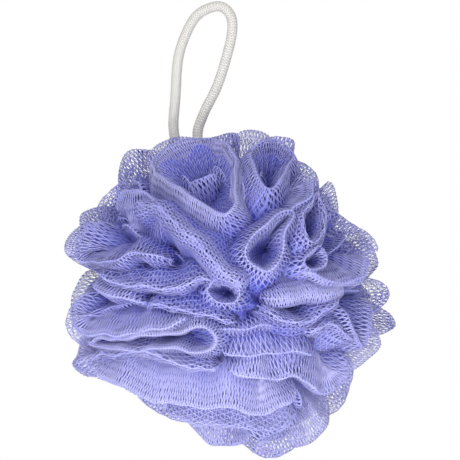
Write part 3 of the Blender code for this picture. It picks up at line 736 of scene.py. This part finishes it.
def net_diamonds_group():
    """Diamond threads on the cloth's own UV map: a mask of the threads and their rounded height."""
    tree, given, out = new_group(
        "net_diamonds",
        [("Cloth", "NodeSocketVector", (0, 0, 0)), ("Cell Width", "NodeSocketFloat", 2.3),
         ("Cell Height", "NodeSocketFloat", 4.4), ("Thread", "NodeSocketFloat", 0.34),
         ("Waver", "NodeSocketFloat", 0.5)],
        [("Mask", "NodeSocketFloat"), ("Height", "NodeSocketFloat")])
    scaled = vector_node(tree, "SCALE", given.outputs["Cloth"], scale=100.0)
    noise = add_node(tree, "ShaderNodeTexNoise", {"Scale": 0.35, "Detail": 1.0, "Vector": scaled},
                     noise_dimensions="2D")
    centred = vector_node(tree, "SUBTRACT", noise.outputs["Color"], (0.5, 0.5, 0.5))
    swayed = vector_node(tree, "SCALE", centred, scale=given.outputs["Waver"])
    moved = vector_node(tree, "ADD", scaled, swayed)
    apart = add_node(tree, "ShaderNodeSeparateXYZ", {0: moved})
    across = math_node(tree, "DIVIDE", apart.outputs["X"], given.outputs["Cell Width"])
    down = math_node(tree, "DIVIDE", apart.outputs["Y"], given.outputs["Cell Height"])
    ridges = []
    for sign in ("ADD", "SUBTRACT"):
        part = math_node(tree, "FRACT", math_node(tree, sign, across, down))
        away = math_node(tree, "ABSOLUTE", math_node(tree, "SUBTRACT", part, 0.5))
        ridges.append(math_node(tree, "MULTIPLY", away, 2.0))
    top = math_node(tree, "MAXIMUM", *ridges)
    edge = math_node(tree, "SUBTRACT", 1.0, given.outputs["Thread"])
    solid = math_node(tree, "ADD", edge, 0.12)
    mask = map_range(tree, top, edge, solid, interpolation_type="SMOOTHSTEP")
    join(tree, mask, out.inputs["Mask"])
    join(tree, math_node(tree, "POWER", top, 3.0), out.inputs["Height"])
    return tree


def cloth_tone_group():
    """The net's colour, deep blue violet down in the pleats and pale lavender along the rims: painted
    shade in the pleats and a painted highlight along the rims.

    Shade is the same, darkened towards blue, for the gaps between its threads: painted shade of the
    layers behind. Both are paler low down on the ball: painted light from below, partly standing for
    fewer layers of net there.
    """
    tree, given, out = new_group(
        "net_tone",
        [("Rise", "NodeSocketFloat", 0.5), ("Tone", "NodeSocketFloat", 0.5),
         ("Deep", "NodeSocketColor", (0.06, 0.07, 0.38, 1)),
         ("Middle", "NodeSocketColor", (0.185, 0.195, 0.62, 1)),
         ("Pale", "NodeSocketColor", (0.345, 0.35, 0.735, 1))],
        [("Color", "NodeSocketColor"), ("Shade", "NodeSocketColor")])
    place = tree.nodes.new("ShaderNodeTexCoord").outputs["Object"]
    noise = add_node(tree, "ShaderNodeTexNoise", {"Scale": 70.0, "Detail": 2.0, "Vector": place})
    lift = math_node(tree, "MULTIPLY_ADD", noise.outputs["Fac"], 0.28, -0.14)
    lifted = math_node(tree, "ADD", given.outputs["Rise"], lift)
    personal = math_node(tree, "MULTIPLY_ADD", given.outputs["Tone"], 0.16, -0.08)
    apart = add_node(tree, "ShaderNodeSeparateXYZ", {0: place})
    # Painted light from below, partly standing for fewer layers of net: the colour lifts towards pale
    # between these heights.
    low_down = map_range(tree, apart.outputs["Z"], PAINTED_LIGHT_AND_THIN_NET_BELOW, PAINTED_LIGHT_AND_THINNEST_NET_AT,
                         interpolation_type="SMOOTHSTEP")
    # Added to each ruffle's own random tone.
    painted_light_thin_net_and_tone = math_node(tree, "MULTIPLY_ADD", low_down, 0.85, personal)
    level = math_node(tree, "ADD", lifted, painted_light_thin_net_and_tone, clamp=True)
    # Painted shade and painted highlight: a low rise, down in the pleats, gives the deep colour, and a
    # high rise, along the rims, gives the pale one.
    low = mix_colours(tree, map_range(tree, level, 0.25, 0.62),
                      given.outputs["Deep"], given.outputs["Middle"])
    high = mix_colours(tree, map_range(tree, level, 0.60, 1.0), low, given.outputs["Pale"])
    # Painted shade in the gaps between the threads, weaker low down on the ball, where the painted light
    # from below takes over.
    shaded = math_node(tree, "MULTIPLY_ADD", low_down, -0.9, 1.0)
    join(tree, high, out.inputs["Color"])
    between = mix_colours(tree, shaded, high, (0.25, 0.30, 0.73, 1), "MULTIPLY")
    join(tree, between, out.inputs["Shade"])
    return tree


def fresh_material(name, roughness):
    made = bpy.data.materials.new(name)
    made.use_nodes = True
    shader = made.node_tree.nodes["Principled BSDF"]
    shader.inputs["Roughness"].default_value = roughness
    return made, made.node_tree, shader


def attribute(tree, name):
    made = add_node(tree, "ShaderNodeAttribute", attribute_type="GEOMETRY", attribute_name=name)
    return made.outputs["Fac"]


def net_tone(tree, tone_group, **inputs):
    """The tone group, fed with the mesh's own rise and tone unless other inputs are given."""
    inputs = inputs or {"Rise": attribute(tree, "rise"), "Tone": attribute(tree, "tone")}
    return add_node(tree, "ShaderNodeGroup", inputs, node_tree=tone_group)


def thread_material(tone_group):
    made, tree, shader = fresh_material("lavender_thread", 0.42)
    tone = net_tone(tree, tone_group)
    # Painted shade and painted highlight: the deep colour for threads down in the pleats, the pale one
    # for those along the rims.
    tone.inputs["Deep"].default_value = (0.10, 0.11, 0.46, 1)
    tone.inputs["Middle"].default_value = (0.25, 0.26, 0.655, 1)
    tone.inputs["Pale"].default_value = (0.43, 0.425, 0.745, 1)
    join(tree, tone.outputs["Color"], shader.inputs["Base Color"])
    shader.inputs["Specular IOR Level"].default_value = 0.35
    return made


def layer_material(tone_group, net_group, name, see_through, cell, openness, rim_from):
    """Closed-up net layers: dense, film-like patches and open ones, with a pale rolled rim, whose
    paleness is a painted highlight. The gaps between their threads take the darker Shade colour,
    painted shade of the layers behind.

    The shares of the rise between which they turn see-through, a cell's width and height, the
    thread widths of the open and the packed patches, and the share of the rise where the rim begins.
    """
    made, tree, shader = fresh_material(name, 0.5)
    place = tree.nodes.new("ShaderNodeTexCoord").outputs["Object"]
    patches = add_node(tree, "ShaderNodeTexNoise", {"Scale": 42.0, "Detail": 1.5, "Vector": place})
    packed = map_range(tree, patches.outputs["Fac"], 0.42, 0.60, *openness)
    cloth = add_node(tree, "ShaderNodeUVMap", uv_map="cloth")
    turned = add_node(tree, "ShaderNodeMapping", {
        "Rotation": (0, 0, 0.22), "Location": (0.013, 0.007, 0), "Vector": cloth.outputs["UV"]})
    net = add_node(tree, "ShaderNodeGroup", node_tree=net_group, inputs={
        "Cloth": turned.outputs["Vector"], "Thread": packed, "Cell Width": cell[0],
        "Cell Height": cell[1]})
    threads = net.outputs["Mask"]
    rise = attribute(tree, "rise")
    rim = map_range(tree, rise, rim_from, rim_from + 0.02)
    tone = net_tone(tree, tone_group)
    # Painted shade in the gaps: where there is neither a thread nor the rim, the colour is the darker
    # Shade.
    shown = math_node(tree, "MAXIMUM", math_node(tree, "MULTIPLY", threads, 0.75), rim)
    colour = mix_colours(tree, shown, tone.outputs["Shade"], tone.outputs["Color"])
    join(tree, colour, shader.inputs["Base Color"])
    add_bump(tree, shader, net.outputs["Height"], 0.6, 0.0004)
    solid = map_range(tree, rise, *see_through, 1.0, 0.0)
    closed = math_node(tree, "MAXIMUM", threads, math_node(tree, "MAXIMUM", solid, rim))
    join(tree, closed, shader.inputs["Alpha"])
    return made


def middle_material(tone_group):
    """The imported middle: radial pleats in deep shade, with a fine grain of threads."""
    made, tree, shader = fresh_material("packed_net", 0.6)
    place = tree.nodes.new("ShaderNodeTexCoord").outputs["Object"]
    grain = add_node(tree, "ShaderNodeTexVoronoi", {"Scale": 620.0, "Vector": place},
                     feature="DISTANCE_TO_EDGE")
    away = grain.outputs["Distance"]
    # Painted shade: a low rise gives the middle the deep colour of the pleats' bottoms, a little paler
    # along the grain's edges.
    tone = net_tone(tree, tone_group, Rise=map_range(tree, away, 0.0, 0.12, 0.55, 0.15))
    join(tree, tone.outputs["Color"], shader.inputs["Base Color"])
    add_bump(tree, shader, away, 0.7, 0.0005, inward=True)
    return made


def cord_material():
    """Off-white braid: pale raised strands, greyer grooves and a little fuzz. The greyer grooves and the
    darker rows between stitches are painted shade.
    """
    made, tree, shader = fresh_material("off_white_braid", 0.85)
    cloth = add_node(tree, "ShaderNodeUVMap", uv_map="braid").outputs["UV"]
    fine = add_node(tree, "ShaderNodeMapping", {"Scale": (26, 420, 1), "Vector": cloth})
    fuzz = add_node(tree, "ShaderNodeTexNoise", {
        "Scale": 1.6, "Detail": 2.0, "Vector": fine.outputs["Vector"]})
    apart = add_node(tree, "ShaderNodeSeparateXYZ", {0: cloth})
    around = math_node(tree, "MULTIPLY", apart.outputs["X"], STITCH_BENDS)
    bend = math_node(tree, "MULTIPLY", math_node(tree, "SINE", around), STITCH_BEND)
    row = math_node(tree, "SINE", math_node(tree, "MULTIPLY_ADD", apart.outputs["Y"], STITCH_ROWS, bend))
    stitch = math_node(tree, "MULTIPLY_ADD", row, 0.5, 0.5)
    strands = math_node(tree, "MULTIPLY", attribute(tree, "relief"), 0.5)
    mixed = math_node(tree, "MULTIPLY_ADD", fuzz.outputs["Fac"], 0.4, strands)
    # Painted shade: the grooves between strands and the rows between stitches come out darker; the fuzz
    # adds random tone.
    level = math_node(tree, "MULTIPLY_ADD", stitch, 0.6, mixed, clamp=True)
    colour = ramp_node(tree, level, [(0.0, (0.38, 0.365, 0.35)), (0.5, (0.53, 0.515, 0.495)),
                                     (1.0, (0.68, 0.665, 0.64))])
    join(tree, colour, shader.inputs["Base Color"])
    add_bump(tree, shader, level, 0.7, 0.0002)
    return made


def twisted_string_material(name, pale, groove, windings, slope, axes):
    """Plied string on a solid: slanted strands read from the object's own coordinates."""
    made, tree, shader = fresh_material(name, 0.8)
    place = tree.nodes.new("ShaderNodeTexCoord").outputs["Object"]
    centred = add_node(tree, "ShaderNodeMapping", {"Location": tuple(-BALL_CENTRE), "Vector": place})
    apart = add_node(tree, "ShaderNodeSeparateXYZ", {0: centred.outputs["Vector"]})
    first, second, along = (apart.outputs[axis] for axis in axes)
    winding = math_node(tree, "MULTIPLY", math_node(tree, "ARCTAN2", first, second), windings)
    slanted = math_node(tree, "MULTIPLY_ADD", along, slope, winding)
    strand = math_node(tree, "MULTIPLY_ADD", math_node(tree, "SINE", slanted), 0.5, 0.5)
    # Painted shade: the grooves between the strands take the darker groove colour.
    colour = ramp_node(tree, strand, [(0.0, groove), (0.6, pale), (1.0, pale)])
    join(tree, colour, shader.inputs["Base Color"])
    add_bump(tree, shader, strand, 0.6, 0.0003)
    return made


def set_only_material(item, look):
    item.data.materials.clear()
    item.data.materials.append(look)


def ride_netting(item, *nodes):
    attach(item, "root")
    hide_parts(*nodes)
    return item


def stands_for(name):
    """The solids that a piece of net stands for: its own half, or both where it is at the edge."""
    return {"front": ("netting",), "back_": ("netting_back",)}.get(name[:5], ("netting", "netting_back"))


def declare_net(ruffles):
    """Works out the height of the net tube in a group of ruffles, the mean of twice their wall lengths
    weighted by rim length, and does nothing with it.
    """
    height = 2 * sum(r.wall_length() * r.length for r in ruffles) / sum(r.length for r in ruffles)


def pale_floor():
    bpy.ops.object.select_all(action="DESELECT")
    bpy.ops.mesh.primitive_plane_add(size=1.4, location=(BALL_CENTRE[0], 0.0, FLOOR_HEIGHT))
    floor = bpy.context.object
    floor.name = floor.data.name = "pale_floor"
    made, _, shader = fresh_material("pale_floor", 0.9)
    shader.inputs["Base Color"].default_value = (0.93, 0.93, 0.93, 1)
    set_only_material(floor, made)


def world_light():
    """Soft white light from all sides, and plain white where it is looked at."""
    world = bpy.data.worlds.new("studio")
    bpy.context.scene.world = world
    world.use_nodes = True
    tree = world.node_tree
    tree.nodes.clear()
    white = (1, 1, 1, 1)
    light = add_node(tree, "ShaderNodeBackground", {"Color": white, "Strength": 0.60})
    shown = add_node(tree, "ShaderNodeBackground", {"Color": white, "Strength": 1.0})
    rays = tree.nodes.new("ShaderNodeLightPath").outputs
    either = math_node(tree, "MAXIMUM", rays["Is Camera Ray"], rays["Is Glossy Ray"])
    seen = math_node(tree, "MAXIMUM", either, rays["Is Transmission Ray"])
    choose = add_node(tree, "ShaderNodeMixShader", {0: seen, 1: light.outputs[0], 2: shown.outputs[0]})
    add_node(tree, "ShaderNodeOutputWorld", {"Surface": choose.outputs[0]})


def studio_lamp(name, place, size, power):
    data = bpy.data.lights.new(name, "AREA")
    data.shape = "DISK"
    data.size = size
    data.energy = power
    lamp = bpy.data.objects.new(name, data)
    bpy.context.scene.collection.objects.link(lamp)
    lamp.location = place
    aim = Vector((BALL_CENTRE[0], 0.0, -0.1)) - Vector(place)
    lamp.rotation_euler = aim.to_track_quat("-Z", "Y").to_euler()


def photo_camera():
    data = bpy.data.cameras.new("photo_camera")
    data.lens = LENS
    data.sensor_width = SENSOR
    camera = bpy.data.objects.new("photo_camera", data)
    bpy.context.scene.collection.objects.link(camera)
    camera.location = (BALL_CENTRE[0], -PICTURE_SPAN * LENS / SENSOR, PICTURE_MIDDLE)
    camera.rotation_euler = (math.pi / 2, 0, 0)
    bpy.context.scene.camera = camera


def main():
    scene = bpy.context.scene
    scene.view_settings.view_transform = "Standard"
    photo_camera()
    world_light()
    studio_lamp("key_softbox", (-0.45, -0.75, 0.60), 0.5, 6.0)
    studio_lamp("fill_softbox", (0.6, -0.7, 0.0), 0.7, 2.5)
    studio_lamp("low_softbox", (-0.03, -0.21, -0.285), 0.2, 0.9)

    cord, cord_line, cord_length = braided_cord()
    set_only_material(cord, cord_material())
    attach(cord, "root")
    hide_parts("hanging_cord")

    net_group, tone_group = net_diamonds_group(), cloth_tone_group()
    threads = thread_material(tone_group)
    under = layer_material(tone_group, net_group, "net_layers", see_through=(0.72, 0.95),
                           cell=(1.6, 5.0), openness=(0.24, 0.46), rim_from=0.978)
    outline = layer_material(tone_group, net_group, "open_net_layers", see_through=(0.30, 0.6),
                             cell=(1.6, 4.0), openness=(0.15, 0.36), rim_from=0.985)

    front, back, edge = build_ruffles()
    depth = THREAD_DEPTH_SHARE
    knitted = []
    for half, ruffles in (("front", front), ("back", back)):
        for level, upper in (("upper", True), ("lower", False)):
            chosen = [r for place, r in enumerate(ruffles) if (place in UPPER_NET) == upper]
            knitted.append((f"{half}_net_{level}", chosen))
    for name, ruffles in knitted + [("edge_net", edge)]:
        parts = [wall_threads(r, depth) for r in ruffles]
        parts += [mouth_threads(r) for r in ruffles if r.closed]
        item = ride_netting(gather(name, parts), *stands_for(name))
        set_only_material(item, threads)
        declare_net(ruffles)

    for name, ruffles, look in (("front_inner_layers", front, under), ("back_inner_layers", back, under),
                                ("edge_inner_layers", edge, outline),
                                ("front_packed_pleats", inner_ruffles(-1), under),
                                ("back_packed_pleats", inner_ruffles(1), under),
                                ("edge_packed_pleats", belt_ruffles(), under)):
        rows = PACKED_ROWS if "packed" in name else LAYER_ROWS
        sheets = [layer_sheet(r, rows) for r in ruffles]
        sheets += [mouth_floor(r) for r in ruffles if r.closed]
        item = ride_netting(gather(name, sheets), *stands_for(name))
        set_only_material(item, look)
        declare_net(ruffles)

    middle = ride_netting(packed_middle(), "netting", "netting_back")
    set_only_material(middle, middle_material(tone_group))

    # The second colour of each is the grooves', painted shade between the strands.
    tie_look = twisted_string_material("plied_string", (0.84, 0.83, 0.81), (0.55, 0.54, 0.53),
                                       windings=60.0, slope=2600.0, axes="XZY")
    knot_look = twisted_string_material("knotted_braid", (0.82, 0.80, 0.77), (0.50, 0.48, 0.45),
                                        windings=9.0, slope=1500.0, axes="XYZ")
    for name, look in (("waist_tie", tie_look), ("cord_knot", knot_look)):
        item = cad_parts[name]
        if item.material_slots:
            item.material_slots[0].material = look
        else:
            item.data.materials.append(look)

    pale_floor()


main()
